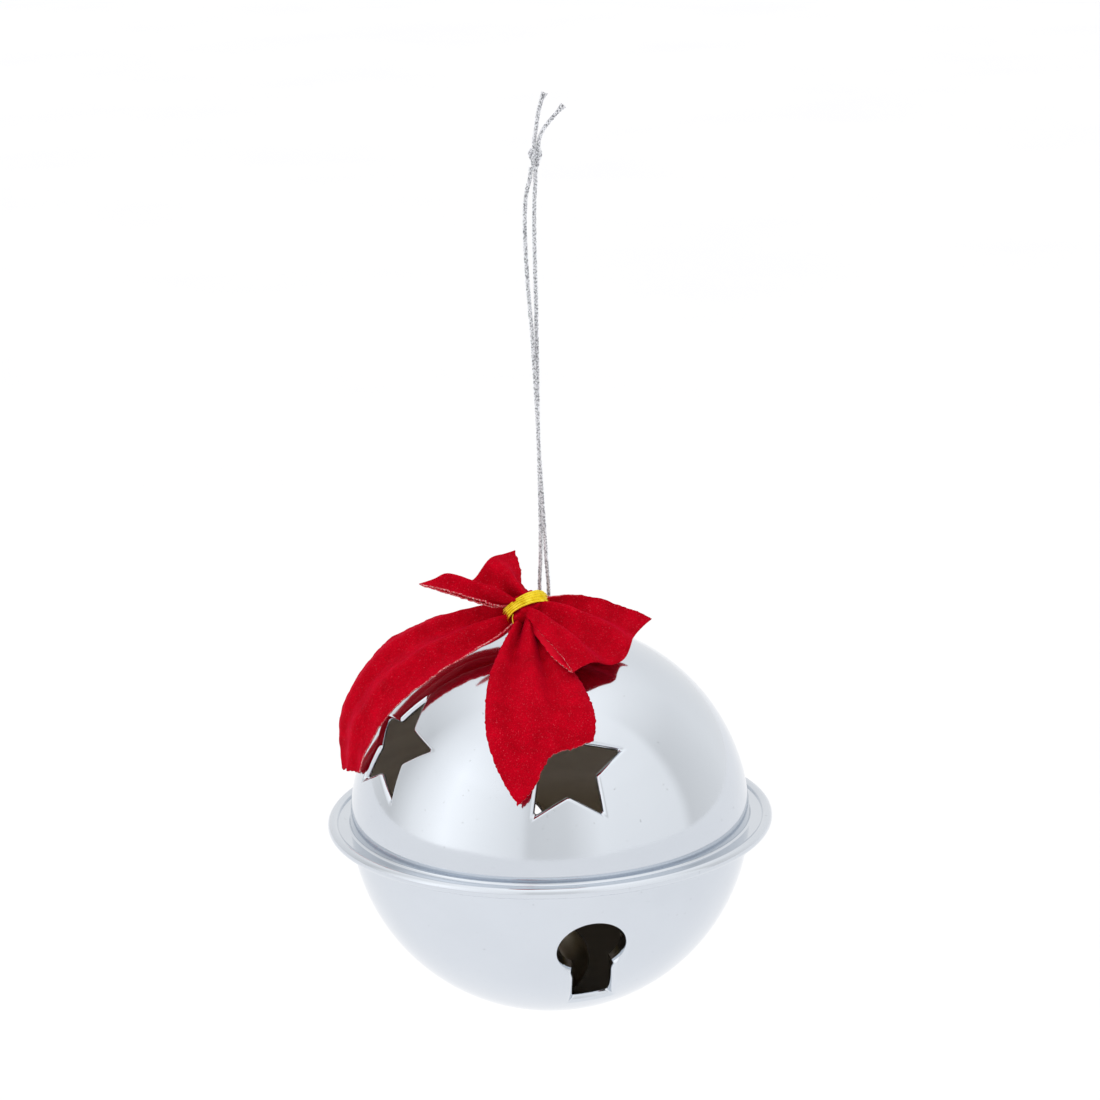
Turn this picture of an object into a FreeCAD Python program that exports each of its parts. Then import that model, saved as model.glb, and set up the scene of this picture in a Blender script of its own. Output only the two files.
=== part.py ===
import FreeCAD, Part
import math
import os

# Jumbo jingle bell ornament: a two-part sheet-metal bell with star and keyhole cut-outs, a loose
# ball inside, a wire eye on top, a velvet bow tied to the eye and a braided cord loop to hang it by.
# Frame: millimetres, +Z up, -Y is the front. The origin is inside the top of the cord loop, just
# under its knot, where a hook holds the ornament. The bell's axis is the Z axis.

V = FreeCAD.Vector

# Bell body. Heights of the bell are measured from the middle plane of its rim.
RIM_Z = -146.5          # the rim's middle plane, below the hook
RIM_R = 50.0            # outer radius of the rolled rim
BODY_R = 45.0           # outer radius of both shells, which are parts of spheres
SHEET = 0.5             # sheet thickness
DOME_CENTRE_Z = -1.0    # centre of the dome's sphere
BOWL_CENTRE_Z = 1.4     # centre of the bowl's sphere
BEAD_R = 1.2            # outer radius of the rolled edge's section
FLANGE_TOP = 0.3        # top face of the upper shell's flange
FILLET_R = 0.6          # inside corner between each shell and its flange
LOWER_FLANGE_R = 48.6   # edge of the lower shell's flange, inside the rolled edge
FOLD_INNER_R = 47.3     # where the rolled edge ends underneath
EYE_HOLE_R = 1.5        # hole in the top of the dome

# Cut-outs, each with a lip drawn inwards.
LIP_DEPTH = 1.7         # from the outer face to the lip's inner edge
LIP_WALL = 0.5
CUT_FROM_R = 34.0       # cut-outs are cut outwards from this radius
STAR_TIP_R = 13.5
STAR_NOTCH_R = 6.8
STAR_TIP_ROUND = 0.9
STAR_NOTCH_ROUND = 0.5
# Each star's azimuth from the front towards +X, its elevation, and its turn, in degrees.
STARS = ((-64.0, 32.4, -2.0), (6.0, 34.2, -2.0), (124.0, 33.0, 0.0), (194.0, 33.0, 0.0))
KEYHOLE_AZIMUTHS = (12.0, 192.0)
KEYHOLE_ELEVATION = -24.5
KEYHOLE_TURN = 6.0
KEYHOLE_R = 7.5         # round part
KEYHOLE_SLOT_HALF = 4.7
KEYHOLE_SLOT_END = 19.6  # from the round part's centre to the slot's lower end
KEYHOLE_ROUND = 0.6     # corners

# Wire eye: a ring in the Y-Z plane whose two legs pass through the dome and open out inside.
WIRE_R = 0.5
EYE_Z = 48.6            # ring's centre
EYE_R = 3.0             # ring's mean radius
LEG_Y = 0.6             # half the distance between the legs
LEG_BEND_Z = 42.5
LEG_BEND_R = 1.0
LEG_END = (9.0, 41.4)   # y and height of a leg's end

# Loose ball that rolls across the bowl between the two keyholes.
BALL_R = 8.0
BALL_ORBIT_R = 36.1     # bowl's centre to the ball's centre

# Metallic braided cord: two strands from the knot to the eye, and two free ends above the knot.
CORD_R = 0.425
BIGHT_R = 1.0           # the strands turn round the eye's wire
ROUTE_SHARE = 0.45      # share of the shorter run that an arc's tangent takes
STRAND_LEFT = [
    (-0.50, 0.0, 0.3), (-0.50, 0.0, -1.6), (-1.65, 0.1, -5.0), (-2.15, 0.1, -10.5),
    (-2.10, 0.1, -18.5), (-1.75, 0.0, -27.0), (-1.15, -0.1, -35.5), (-0.85, -0.35, -44.5),
    (-0.50, -0.48, -53.5), (-0.30, -0.48, -63.0), (0.10, -0.40, -72.0), (0.45, -0.15, -80.5),
    (0.60, 0.0, -86.5), (0.92, 0.0, -91.0), (1.00, 0.0, -93.6), (1.00, 0.0, -95.9),
    (0.0, 0.0, -95.9),
]
STRAND_RIGHT = [
    (0.50, 0.0, 0.3), (0.50, 0.0, -2.0), (0.10, -0.05, -6.3), (-0.10, -0.05, -12.0),
    (-0.15, -0.1, -20.0), (-0.10, 0.0, -28.5), (-0.20, 0.15, -36.5), (-0.20, 0.4, -45.0),
    (-0.45, 0.48, -54.0), (-0.35, 0.48, -63.0), (-0.35, 0.4, -72.0), (-0.45, 0.15, -80.5),
    (-0.60, 0.0, -86.5), (-0.92, 0.0, -91.0), (-1.00, 0.0, -93.6), (-1.00, 0.0, -95.9),
    (0.0, 0.0, -95.9),
]
TAIL_LEFT = [
    (0.35, 0.0, 4.6), (0.35, 0.0, 6.3), (0.95, 0.0, 9.0), (1.35, 0.0, 12.4), (2.75, 0.0, 16.2),
]
TAIL_RIGHT = [
    (1.30, 0.0, 4.6), (1.30, 0.0, 6.0), (2.20, 0.1, 8.2), (4.20, 0.1, 10.7), (6.80, 0.0, 13.4),
]
# The knot's body: centre (x, z) and radius of its bottom, belly and top.
KNOT_SECTIONS = (((0.0, 0.3), 1.05), ((0.55, 2.4), 1.5), ((0.8, 4.6), 1.05))

# Velvet bow, pinched by a foil tie in front of the eye. Heights are from the rim's plane.
GATHER_CENTRE = (-4.0, -7.4, 51.0)
GATHER_ACROSS = (0.90, 0.15, 0.41)
GATHER_AXIS = (0.40, -0.72, -0.57)
GATHER_HALF_LENGTH = 1.25
GATHER_WIDE, GATHER_TALL = 4.2, 2.8
# Each ribbon's root inside the gather, across, up and along it: its middle, and half its width
# towards the first edge.
LOOP_LEFT_ROOT = ((0.0, 1.2, -1.1), (-2.4, 0.0, 0.0))
LOOP_RIGHT_ROOT = ((2.6, 0.8, 0.0), (0.0, 0.0, -1.2))
TAIL_LEFT_ROOT = ((-2.6, -0.8, 0.0), (0.0, 0.0, 1.2))
TAIL_FRONT_ROOT = ((0.0, -1.2, 1.1), (-2.4, 0.0, 0.0))
TIE_FOIL = 0.5
TIE_WIRE_R = 0.25
# Stations of each ribbon past its pinched root: one edge, the other edge, thickness.
LOOP_LEFT = (
    ((-15.0, -9.0, 56.0), (-4.2, -1.0, 58.0), 4.0),
    ((-25.5, -8.0, 58.3), (-4.6, 3.0, 61.5), 1.8),
)
LOOP_RIGHT = (
    ((12.0, -3.5, 52.0), (5.0, -16.0, 47.6), 3.0),
    ((24.2, -3.0, 46.5), (8.6, -21.5, 42.4), 1.8),
)
RIBBON_LEFT = (
    ((-14.0, -11.4, 45.4), (-14.0, 2.0, 50.0), 1.2),
    ((-22.0, -12.7, 39.4), (-26.0, 6.0, 44.0), 1.2),
    ((-31.0, -13.2, 32.9), (-37.0, 6.5, 34.2), 1.2),
    ((-38.0, -12.7, 25.4), (-46.6, 6.0, 24.0), 1.2),
    ((-42.2, -12.0, 18.4), (-47.8, 7.0, 13.4), 1.2),
)
RIBBON_FRONT = (
    ((-10.0, -18.0, 43.2), (4.0, -19.0, 43.2), 1.2),
    ((-12.5, -27.5, 38.5), (8.5, -28.0, 39.0), 1.2),
    ((-13.0, -35.5, 31.0), (10.0, -35.0, 32.0), 1.2),
    ((-10.5, -41.0, 24.0), (9.7, -37.5, 29.8), 1.2),
    ((-6.8, -44.4, 18.2), (-5.0, -44.2, 19.4), 1.2),
)


def polar(azimuth, elevation):
    """Outward unit vector at an azimuth from the front towards +X and an elevation, in degrees."""
    a, e = math.radians(azimuth), math.radians(elevation)
    return V(math.cos(e) * math.sin(a), -math.cos(e) * math.cos(a), math.sin(e))


def surface_frame(azimuth, elevation, turn=0.0):
    """Right, up and outward unit vectors of a patch of the bell, turned anticlockwise."""
    a = math.radians(azimuth)
    out = polar(azimuth, elevation)
    right = V(math.cos(a), math.sin(a), 0)
    up = out.cross(right)
    t = math.radians(turn)
    return right * math.cos(t) + up * math.sin(t), up * math.cos(t) - right * math.sin(t), out


def rounded_path(points, tangents, closed=False):
    """Edges through the points, each corner an arc that starts its tangent length from the point."""
    count = len(points)
    corners = range(count) if closed else range(1, count - 1)
    joints = {}
    for i in corners:
        before = (points[i - 1] - points[i]).normalize()
        after = (points[(i + 1) % count] - points[i]).normalize()
        half_turn = (math.pi - before.getAngle(after)) / 2
        radius = tangents[i] / math.tan(half_turn)
        middle = (before + after).normalize()
        bulge = radius / math.cos(half_turn) - radius
        joints[i] = (points[i] + before * tangents[i], points[i] + middle * bulge,
                     points[i] + after * tangents[i], radius)
    edges = []
    spans = count if closed else count - 1
    for i in range(spans):
        j = (i + 1) % count
        start = joints[i][2] if i in joints else points[i]
        end = joints[j][0] if j in joints else points[j]
        if start.distanceToPoint(end) > 1e-6:
            edges.append(Part.LineSegment(start, end).toShape())
        if j in joints:
            edges.append(Part.Arc(joints[j][0], joints[j][1], joints[j][2]).toShape())
    return edges, [joint[3] for joint in joints.values()]


def tube(edges, radius):
    """Round tube of one radius along the edges."""
    start = edges[0].valueAt(edges[0].FirstParameter)
    direction = edges[0].tangentAt(edges[0].FirstParameter)
    section = Part.Wire(Part.makeCircle(radius, start, direction))
    return Part.Wire(edges).makePipeShell([section], True, False)


def ring_of(profile_edges):
    """Solid of revolution about Z from the edges of a closed outline in the X-Z plane."""
    outline = Part.Wire(Part.__sortEdges__(profile_edges))
    return Part.Face(outline).revolve(V(0, 0, 0), V(0, 0, 1), 360)


def line(a, b):
    return Part.LineSegment(V(a[0], 0, a[1]), V(b[0], 0, b[1])).toShape()


def arc(a, middle, b):
    return Part.Arc(V(a[0], 0, a[1]), V(middle[0], 0, middle[1]), V(b[0], 0, b[1])).toShape()


def on_circle(centre, radius, angle):
    t = math.radians(angle)
    return (centre[0] + radius * math.cos(t), centre[1] + radius * math.sin(t))


def sphere_radius_at(radius, centre_z, z):
    """Distance from the axis of a sphere's surface at a height."""
    return math.sqrt(radius**2 - (z - centre_z) ** 2)


def cut_out(shell, outline, place, centre_z):
    """Cuts an opening into a shell and leaves a lip round it that is drawn inwards."""
    right, up, out = place
    centre = V(0, 0, centre_z)
    floor = centre + out * CUT_FROM_R

    def prism(inset):
        points, rounds = outline(inset)
        placed = [floor + right * x + up * y for x, y in points]
        edges, radii = rounded_path(placed, rounds, closed=True)
        return Part.Face(Part.Wire(edges)).extrude(out * (BODY_R + 3 - CUT_FROM_R))

    layer = Part.makeSphere(BODY_R - SHEET / 2, centre)
    layer = layer.cut(Part.makeSphere(BODY_R - LIP_DEPTH, centre))
    lip = prism(0.0).common(layer)
    return shell.fuse(lip).cut(prism(LIP_WALL))


def star_outline(inset):
    """Five-pointed star, inset evenly: its points and each corner's tangent length."""
    step = math.pi / 5
    side = math.sqrt(STAR_TIP_R**2 + STAR_NOTCH_R**2
                     - 2 * STAR_TIP_R * STAR_NOTCH_R * math.cos(step))
    apothem = STAR_TIP_R * STAR_NOTCH_R * math.sin(step) / side
    scale = 1 - inset / apothem
    points, rounds = [], []
    for k in range(10):
        radius = (STAR_TIP_R if k % 2 == 0 else STAR_NOTCH_R) * scale
        angle = math.pi / 2 + k * step
        points.append((radius * math.cos(angle), radius * math.sin(angle)))
        rounds.append(STAR_TIP_ROUND if k % 2 == 0 else STAR_NOTCH_ROUND)
    return points, rounds


def keyhole_outline(inset):
    """Round hole over a straight slot, inset evenly, with the round part as an even polygon."""
    radius, half, end = KEYHOLE_R - inset, KEYHOLE_SLOT_HALF - inset, KEYHOLE_SLOT_END - inset
    opening = math.asin(half / radius)
    sides = 14
    first = -math.pi / 2 + opening
    sweep = 2 * math.pi - 2 * opening
    corner_r = radius / math.cos(sweep / sides / 2)
    points = [(half, -end), (half, -radius * math.cos(opening))]
    rounds = [KEYHOLE_ROUND, KEYHOLE_ROUND / 2]
    for k in range(sides):
        angle = first + sweep * (k + 0.5) / sides
        points.append((corner_r * math.cos(angle), corner_r * math.sin(angle)))
        rounds.append(0.9 * radius * math.tan(sweep / sides / 2))
    points += [(-half, -radius * math.cos(opening)), (-half, -end)]
    rounds += [KEYHOLE_ROUND / 2, KEYHOLE_ROUND]
    return points, rounds


def upper_shell():
    """Dome with its flange, whose edge is rolled over and under the lower shell's flange."""
    bead = (RIM_R - BEAD_R, 0.0)
    inner_bead_r = BEAD_R - SHEET
    dome = (0.0, DOME_CENTRE_Z)
    inner_r = BODY_R - SHEET
    shoulder = FLANGE_TOP + FILLET_R
    foot_r = sphere_radius_at(BODY_R, DOME_CENTRE_Z, shoulder)
    flange_under = FLANGE_TOP - SHEET
    top_out = (EYE_HOLE_R, DOME_CENTRE_Z + math.sqrt(BODY_R**2 - EYE_HOLE_R**2))
    top_in = (EYE_HOLE_R, DOME_CENTRE_Z + math.sqrt(inner_r**2 - EYE_HOLE_R**2))
    foot_in = (sphere_radius_at(inner_r, DOME_CENTRE_Z, flange_under), flange_under)
    bead_start = (bead[0] - math.sqrt(BEAD_R**2 - FLANGE_TOP**2), FLANGE_TOP)
    bead_in_end = (bead[0] - math.sqrt(inner_bead_r**2 - flange_under**2), flange_under)
    fillet_centre = (foot_r + FILLET_R, shoulder)
    edges = [
        arc(top_out, on_circle(dome, BODY_R, 45), (foot_r, shoulder)),
        arc((foot_r, shoulder), on_circle(fillet_centre, FILLET_R, 225),
            (fillet_centre[0], FLANGE_TOP)),
        line((fillet_centre[0], FLANGE_TOP), bead_start),
        arc(bead_start, (RIM_R, 0.0), (bead[0], -BEAD_R)),
        line((bead[0], -BEAD_R), (FOLD_INNER_R, -BEAD_R)),
        line((FOLD_INNER_R, -BEAD_R), (FOLD_INNER_R, -inner_bead_r)),
        line((FOLD_INNER_R, -inner_bead_r), (bead[0], -inner_bead_r)),
        arc((bead[0], -inner_bead_r), (bead[0] + inner_bead_r, 0.0), bead_in_end),
        line(bead_in_end, foot_in),
        arc(foot_in, on_circle(dome, inner_r, 45), top_in),
        line(top_in, top_out),
    ]
    shell = ring_of(edges)
    for azimuth, elevation, turn in STARS:
        place = surface_frame(azimuth, elevation, turn)
        shell = cut_out(shell, star_outline, place, DOME_CENTRE_Z)
    return shell


def lower_shell():
    """Bowl with a flat flange that the rolled edge of the upper shell grips."""
    flange_top = FLANGE_TOP - SHEET
    flange_under = flange_top - SHEET
    bowl = (0.0, BOWL_CENTRE_Z)
    inner_r = BODY_R - SHEET
    shoulder = flange_under - FILLET_R
    shoulder_r = sphere_radius_at(BODY_R, BOWL_CENTRE_Z, shoulder)
    mouth = (sphere_radius_at(inner_r, BOWL_CENTRE_Z, flange_top), flange_top)
    bottom_out = (0.0, BOWL_CENTRE_Z - BODY_R)
    bottom_in = (0.0, BOWL_CENTRE_Z - inner_r)
    fillet_centre = (shoulder_r + FILLET_R, shoulder)
    edges = [
        arc((shoulder_r, shoulder), on_circle(bowl, BODY_R, -45), bottom_out),
        line(bottom_out, bottom_in),
        arc(bottom_in, on_circle(bowl, inner_r, -45), mouth),
        line(mouth, (LOWER_FLANGE_R, flange_top)),
        line((LOWER_FLANGE_R, flange_top), (LOWER_FLANGE_R, flange_under)),
        line((LOWER_FLANGE_R, flange_under), (fillet_centre[0], flange_under)),
        arc((fillet_centre[0], flange_under), on_circle(fillet_centre, FILLET_R, 135),
            (shoulder_r, shoulder)),
    ]
    shell = ring_of(edges)
    for azimuth in KEYHOLE_AZIMUTHS:
        place = surface_frame(azimuth, KEYHOLE_ELEVATION, KEYHOLE_TURN)
        shell = cut_out(shell, keyhole_outline, place, BOWL_CENTRE_Z)
    return shell


def hanger_eye():
    """Split pin of round wire: ring above the dome, legs through its hole and bent apart inside."""
    side = math.radians(60)
    meet = V(0, EYE_R * math.cos(side), EYE_Z - EYE_R * math.sin(side))
    slope = V(0, math.sin(side), math.cos(side))
    neck = meet - slope * ((meet.y - LEG_Y) / slope.y)
    leg = [V(0, LEG_END[0], LEG_END[1]), V(0, LEG_Y, LEG_BEND_Z), neck, meet]
    bend = (leg[0] - leg[1]).getAngle(V(0, 0, 1))
    tangents = [0, LEG_BEND_R / math.tan(bend / 2), 0.99 * neck.distanceToPoint(meet), 0]
    edges, radii = rounded_path(leg, tangents)
    ring = Part.Arc(meet, V(0, 0, EYE_Z + EYE_R), V(0, -meet.y, meet.z)).toShape()
    other = [V(0, -p.y, p.z) for p in reversed(leg)]
    back, radii = rounded_path(other, tangents[::-1])
    return tube(edges + [ring] + back, WIRE_R)


def clapper_ball():
    return Part.makeSphere(BALL_R, V(0, 0, BOWL_CENTRE_Z - BALL_ORBIT_R))


def cord(route, name, bight=False):
    """Cord tube along a route of straight runs joined by arcs; the bight turns round the eye."""
    points = [V(*p) for p in route]
    runs = [a.distanceToPoint(b) for a, b in zip(points, points[1:])]
    tangents = [0.0] + [ROUTE_SHARE * min(a, b) for a, b in zip(runs, runs[1:])] + [0.0]
    if bight:
        tangents[-2] = BIGHT_R
    edges, radii = rounded_path(points, tangents)
    solid = tube(edges, CORD_R)
    length = sum(edge.Length for edge in edges)
    section = math.pi * CORD_R**2
    print(f"{name}: length {length:.1f} mm, volume {solid.Volume:.2f} mm3, section x length"
          f" {section * length:.2f} mm3, radii {' '.join(f'{r:.1f}' for r in radii)}")
    return solid


def cord_knot():
    sections = []
    for (x, z), radius in KNOT_SECTIONS:
        sections.append(Part.Wire(Part.makeCircle(radius, V(x, 0, z), V(0, 0, 1))))
    return Part.makeLoft(sections, True)


def gather_axes():
    wide = V(*GATHER_ACROSS).normalize()
    axis = V(*GATHER_AXIS)
    axis = (axis - wide * axis.dot(wide)).normalize()
    return wide, axis.cross(wide), axis


def root(middle, half, thick):
    """Station of a ribbon's pinched end, from its place in the gather."""
    centre, axes = V(*GATHER_CENTRE), gather_axes()
    edges = []
    for sign in (1, -1):
        place = [m + sign * h for m, h in zip(middle, half)]
        edges.append(centre + axes[0] * place[0] + axes[1] * place[1] + axes[2] * place[2])
    return *edges, thick


def ribbon(stations):
    """Soft strip as a closed solid between its stations."""
    wires = []
    for i, (one, other, thick) in enumerate(stations):
        a, b = V(*one), V(*other)
        ahead = stations[min(i + 1, len(stations) - 1)]
        behind = stations[max(i - 1, 0)]
        along = V(*ahead[0]) + V(*ahead[1]) - V(*behind[0]) - V(*behind[1])
        normal = (b - a).cross(along).normalize() * (thick / 2)
        wires.append(Part.makePolygon([a - normal, b - normal, b + normal, a + normal, a - normal]))
    return Part.makeLoft(wires, True, True)


def gather_slab(extra):
    """Elliptical slab across the bow's middle, larger all round by extra."""
    wide, tall, axis = gather_axes()
    centre = V(*GATHER_CENTRE) - axis * GATHER_HALF_LENGTH
    ellipse = Part.Ellipse(centre + wide * (GATHER_WIDE + extra),
                           centre + tall * (GATHER_TALL + extra), centre)
    return Part.Face(Part.Wire(ellipse.toShape())).extrude(axis * (2 * GATHER_HALF_LENGTH))


def bow_tie_wire():
    """Fine wire of the tie: one turn from the foil through the eye, and one free end in front."""
    turn = [V(-3.9, -5.0, 49.4), V(-3.0, -2.6, 48.2), V(0.0, -1.5, 47.6), V(2.9, -2.6, 48.6),
            V(2.6, -5.0, 51.0), V(0.2, -6.4, 52.4)]
    end = [V(-7.0, -9.8, 50.6), V(-7.1, -10.4, 48.9), V(-6.4, -10.9, 46.6)]
    pieces = []
    for points in (turn, end):
        runs = [a.distanceToPoint(b) for a, b in zip(points, points[1:])]
        tangents = [0.0] + [ROUTE_SHARE * min(a, b) for a, b in zip(runs, runs[1:])] + [0.0]
        edges, radii = rounded_path(points, tangents)
        pieces.append(tube(edges, TIE_WIRE_R))
    return Part.makeCompound(pieces)


bell_parts = {
    "upper_shell": upper_shell(),
    "lower_shell": lower_shell(),
    "clapper_ball": clapper_ball(),
    "hanger_eye": hanger_eye(),
    "bow_gather": gather_slab(0.0),
    "bow_tie_band": gather_slab(TIE_FOIL).cut(gather_slab(0.0)),
    "bow_tie_wire": bow_tie_wire(),
    "bow_loop_left": ribbon((root(*LOOP_LEFT_ROOT, 1.6), *LOOP_LEFT)),
    "bow_loop_right": ribbon((root(*LOOP_RIGHT_ROOT, 1.6), *LOOP_RIGHT)),
    "bow_tail_left": ribbon((root(*TAIL_LEFT_ROOT, 1.0), *RIBBON_LEFT)),
    "bow_tail_front": ribbon((root(*TAIL_FRONT_ROOT, 1.0), *RIBBON_FRONT)),
}
cord_parts = {
    "cord_strand_left": cord(STRAND_LEFT, "cord_strand_left", bight=True),
    "cord_strand_right": cord(STRAND_RIGHT, "cord_strand_right", bight=True),
    "cord_tail_left": cord(TAIL_LEFT, "cord_tail_left"),
    "cord_tail_right": cord(TAIL_RIGHT, "cord_tail_right"),
    "cord_knot": cord_knot(),
}

os.makedirs("parts", exist_ok=True)
for name, shape in bell_parts.items():
    shape.translated(V(0, 0, RIM_Z)).exportStep(f"parts/{name}.step")
for name, shape in cord_parts.items():
    shape.exportStep(f"parts/{name}.step")
for name, shape in {**bell_parts, **cord_parts}.items():
    print(f"{name}: valid {shape.isValid()}, solids {len(shape.Solids)}, volume {shape.Volume:.1f}")
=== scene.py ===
"""Jumbo jingle bell ornament: the looks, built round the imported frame. Sizes here are in millimetres."""
import math

import bpy
import numpy as np
from mathutils import Matrix, Vector, noise
from mathutils.geometry import delaunay_2d_cdt


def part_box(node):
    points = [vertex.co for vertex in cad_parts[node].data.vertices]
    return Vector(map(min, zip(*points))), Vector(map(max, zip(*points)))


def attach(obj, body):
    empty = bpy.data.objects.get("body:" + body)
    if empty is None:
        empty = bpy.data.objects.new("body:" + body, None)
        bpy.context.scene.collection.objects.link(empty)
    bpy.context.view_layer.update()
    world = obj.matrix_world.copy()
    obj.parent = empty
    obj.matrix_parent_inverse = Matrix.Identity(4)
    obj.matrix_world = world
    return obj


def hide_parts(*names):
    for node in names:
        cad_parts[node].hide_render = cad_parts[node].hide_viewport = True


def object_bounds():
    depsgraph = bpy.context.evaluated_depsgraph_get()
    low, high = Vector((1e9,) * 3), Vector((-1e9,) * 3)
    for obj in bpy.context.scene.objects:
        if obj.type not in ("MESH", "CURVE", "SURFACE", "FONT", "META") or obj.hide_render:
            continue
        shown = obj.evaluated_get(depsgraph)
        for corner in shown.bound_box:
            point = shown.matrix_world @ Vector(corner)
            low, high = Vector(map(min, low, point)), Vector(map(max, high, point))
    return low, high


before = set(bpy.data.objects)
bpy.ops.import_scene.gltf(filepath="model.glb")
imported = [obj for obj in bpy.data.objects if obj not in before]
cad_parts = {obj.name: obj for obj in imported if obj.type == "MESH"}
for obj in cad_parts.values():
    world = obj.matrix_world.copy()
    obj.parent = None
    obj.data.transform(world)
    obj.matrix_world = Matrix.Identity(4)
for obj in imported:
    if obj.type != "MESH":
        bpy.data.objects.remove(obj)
cad_low, cad_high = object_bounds()

MM = 0.001
BODY_R = 45.0
SHEET = 0.5
RIM_R = 50.0
BEAD_R = 1.2  # the rolled edge of the rim
ROLL_END_R = 47.3
LOWER_FLANGE_R = 48.6
EYE_HOLE_R = 1.5
RIM_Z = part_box("upper_shell")[0].z / MM + BEAD_R  # the rim's middle plane
RIM = np.array([0.0, 0.0, RIM_Z])


def add_object(name, data):
    obj = bpy.data.objects.new(name, data)
    bpy.context.scene.collection.objects.link(obj)
    return obj


# ---------------------------------------------------------------- camera
def make_camera():
    """Looks at the middle of the rim, then leans sideways and up."""
    distance, elevation, roll, pitch = 0.750, 19.8, 1.5, 4.57
    e = math.radians(elevation)
    place = Vector((0, -distance * math.cos(e), RIM_Z * MM + distance * math.sin(e)))
    aim = (Vector((0, 0, RIM_Z * MM)) - place).to_track_quat("-Z", "Y").to_matrix().to_4x4()
    data = bpy.data.cameras.new("camera")
    data.lens, data.sensor_width = 108.5, 36.0
    data.clip_start, data.clip_end = 0.02, 60.0
    cam = add_object("camera", data)
    cam.matrix_world = (Matrix.Translation(place) @ aim @ Matrix.Rotation(math.radians(-roll), 4, "Z")
                        @ Matrix.Rotation(math.radians(pitch), 4, "X"))
    bpy.context.scene.camera = cam


make_camera()


# ---------------------------------------------------------------- node helpers
def add_node(tree, kind, inputs=(), **settings):
    """A new node. Each of its inputs is given a value, or a socket to link."""
    made = tree.nodes.new(kind)
    for key, value in settings.items():
        setattr(made, key, value)
    for key, value in dict(inputs).items():
        if isinstance(value, bpy.types.NodeSocket):
            tree.links.new(value, made.inputs[key])
        else:
            made.inputs[key].default_value = value
    return made


def add_ramp(tree, value, *stops):
    """Stops are (place, colour); a colour is three numbers, or one for a grey."""
    made = add_node(tree, "ShaderNodeValToRGB", {"Fac": value})
    elements = made.color_ramp.elements
    while len(elements) < len(stops):
        elements.new(0.5)
    for element, (place, colour) in zip(elements, stops):
        element.position = place
        element.color = (*colour, 1.0) if hasattr(colour, "__len__") else (colour, colour, colour, 1.0)
    return made.outputs["Color"]


def add_mix(tree, share, one, other, blend):
    made = add_node(tree, "ShaderNodeMix", {0: share, 6: one, 7: other}, data_type="RGBA", blend_type=blend)
    return made.outputs[2]


# ---------------------------------------------------------------- materials
class Shader:
    """A material's node tree with short calls for the nodes used here."""

    def __init__(self, name, **fixed):
        self.mat = bpy.data.materials.new(name)
        self.mat.use_nodes = True
        self.tree = self.mat.node_tree
        self.main = self.tree.nodes["Principled BSDF"]
        for key, value in fixed.items():
            self.main.inputs[key.replace("_", " ")].default_value = value
        self.coords = self.node("ShaderNodeTexCoord").outputs["Object"]

    def node(self, kind, inputs=(), **settings):
        return add_node(self.tree, kind, inputs, **settings)

    def stretched(self, scale):
        return self.node("ShaderNodeMapping", {"Vector": self.coords, "Scale": scale}).outputs[0]

    def noise(self, scale, detail=4.0, rough=0.55, vector=None):
        found = self.node("ShaderNodeTexNoise", {
            "Vector": vector or self.coords, "Scale": scale, "Detail": detail, "Roughness": rough})
        return found.outputs["Fac"]

    def voronoi(self, scale):
        found = self.node("ShaderNodeTexVoronoi", {"Vector": self.coords, "Scale": scale})
        return found.outputs["Distance"]

    def ramp(self, value, *stops):
        return add_ramp(self.tree, value, *stops)

    def mix(self, share, one, other, blend="MIX"):
        return add_mix(self.tree, share, one, other, blend)

    def colour(self, socket):
        self.tree.links.new(socket, self.main.inputs["Base Color"])

    def rough(self, value, low, high):
        """Roughness from low to high as the value goes from 0 to 1."""
        ranged = self.node("ShaderNodeMapRange", {"Value": value, "To Min": low, "To Max": high})
        self.tree.links.new(ranged.outputs[0], self.main.inputs["Roughness"])

    def bump(self, *layers):
        """Each layer is (height socket, strength, depth in mm)."""
        last = None
        for height, strength, depth in layers:
            inputs = {"Height": height, "Strength": strength, "Distance": depth * MM}
            if last:
                inputs["Normal"] = last
            last = self.node("ShaderNodeBump", inputs).outputs[0]
        self.tree.links.new(last, self.main.inputs["Normal"])


def chrome_material():
    s = Shader("chrome_plate", Metallic=1.0)
    tint = s.ramp(s.noise(38.0, 3.0), (0.30, (0.635, 0.672, 0.722)), (0.70, (0.662, 0.698, 0.745)))
    specks = s.ramp(s.noise(900.0, 2.0), (0.70, 1.0), (0.80, 0.80))
    s.colour(s.mix(1.0, tint, specks, "MULTIPLY"))
    s.rough(s.noise(70.0, 6.0, 0.65), 0.06, 0.13)
    s.bump((s.noise(24.0, 2.0), 0.22, 0.35), (s.noise(1400.0, 3.0), 0.05, 0.01))
    return s.mat


def inside_material():
    s = Shader("bare_inside", Metallic=0.2)
    grain = s.noise(60.0, 5.0, 0.6, s.stretched((1.0, 0.25, 3.0)))
    bare = s.ramp(grain, (0.25, (0.60, 0.53, 0.45)), (0.75, (0.74, 0.67, 0.58)))
    # the colour is darkened towards the bottom of the bowl, much darker there than the rest
    z = s.node("ShaderNodeSeparateXYZ", {0: s.coords}).outputs["Z"]
    height = s.node("ShaderNodeMapRange", {"Value": z, "From Min": (RIM_Z - 32) * MM,
                                           "From Max": (RIM_Z - 4) * MM}).outputs[0]
    bowl_low_darkening = s.ramp(height, (0.25, (0.13, 0.12, 0.10)), (0.5, (0.46, 0.40, 0.20)), (0.95, (1.0, 1.0, 1.0)))
    s.colour(s.mix(1.0, bare, bowl_low_darkening, "MULTIPLY"))
    s.rough(grain, 0.50, 0.72)
    s.bump((s.noise(500.0, 4.0), 0.25, 0.05))
    return s.mat


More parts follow.
